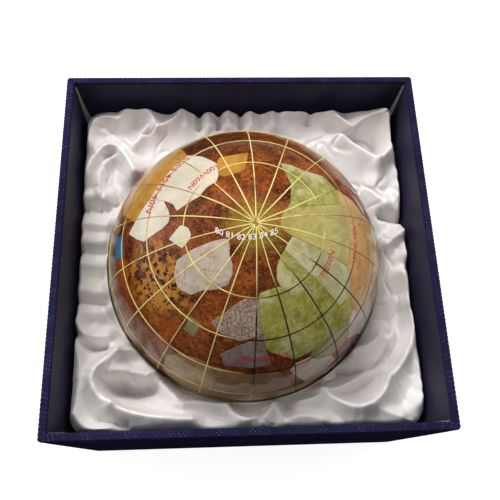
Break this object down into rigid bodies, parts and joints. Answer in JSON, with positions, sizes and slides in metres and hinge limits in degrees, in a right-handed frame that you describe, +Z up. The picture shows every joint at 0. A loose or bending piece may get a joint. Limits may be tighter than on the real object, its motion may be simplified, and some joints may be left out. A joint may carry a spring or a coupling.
{
  "type": "gemstone globe paperweight in presentation tray",
  "caption": "Ball-shaped globe inlaid with polished stone and brass wire, lying in an open square paper-covered tray lined with gathered white satin.",
  "frame": {"origin": "centre of the tray's underside, on the table", "axes": "+Z up out of the tray, +Y towards the back wall, +X towards the right wall as seen from the front"},
  "size_m": [0.1016, 0.1016, 0.0867],
  "materials": {
    "navy_paper": "bead-embossed, matt",
    "grey_board": "raw cut edge",
    "white_satin": "satin weave, soft sheen",
    "nest_foam": "loose wadding under the lining",
    "core_cast": "cast, rough",
    "ocean_stone": "polished, gold-flecked aventurine look",
    "brass_wire": "polished",
    "white_marble": "polished",
    "grey_marble": "polished",
    "lilac_agate": "polished",
    "sage_stone": "polished",
    "gold_jasper": "polished",
    "red_jasper": "polished",
    "tan_jasper": "polished",
    "beige_stone": "polished",
    "olive_agate": "polished",
    "tan_agate": "polished",
    "jade": "polished",
    "pale_jade": "polished",
    "olive_jade": "polished",
    "blue_lapis": "polished"
  },
  "bodies": {
    "tray": {"bottom_sheet": "navy_paper", "floor_board": "grey_board", "wall_front": "grey_board", "wall_back": "grey_board", "wall_left": "grey_board", "wall_right": "grey_board", "paper_wrap": "navy_paper", "nest_block": "nest_foam", "satin_lining": "white_satin"},
    "globe": {"core_ball": "core_cast", "ocean_shell": "ocean_stone", "brass_grid": "brass_wire", "stone_alaska": "gold_jasper", "stone_canada_west": "white_marble", "stone_canada_east": "white_marble", "stone_baffin": "white_marble", "stone_united_states": "gold_jasper", "stone_mexico": "red_jasper", "stone_caribbean": "blue_lapis", "stone_greenland": "grey_marble", "stone_iceland": "sage_stone", "stone_scandinavia": "grey_marble", "stone_europe": "lilac_agate", "stone_russia_west": "jade", "stone_black_sea_steppe": "jade", "stone_urals": "jade", "stone_siberia_west": "pale_jade", "stone_siberia_east": "olive_jade", "stone_far_east": "jade", "stone_central_asia": "jade", "stone_mongolia": "tan_jasper", "stone_manchuria": "beige_stone", "stone_china": "beige_stone", "stone_japan": "red_jasper", "stone_india": "grey_marble", "stone_iran": "sage_stone", "stone_arabia": "grey_marble", "stone_west_africa": "olive_agate", "stone_north_africa": "tan_agate", "stone_central_africa": "olive_agate", "stone_south_africa": "tan_agate", "stone_madagascar": "red_jasper", "stone_amazon": "jade", "stone_patagonia": "tan_jasper", "stone_indochina": "pale_jade", "stone_borneo": "gold_jasper", "stone_new_guinea": "jade", "stone_australia_west": "red_jasper", "stone_australia_east": "olive_agate", "stone_antarctica": "white_marble"}
  },
  "joints": [
    {"name": "globe_lift", "type": "slide", "parent": "tray", "child": "globe", "axis": [0, 0, 1], "range_m": [0, 0.075]}
  ]
}
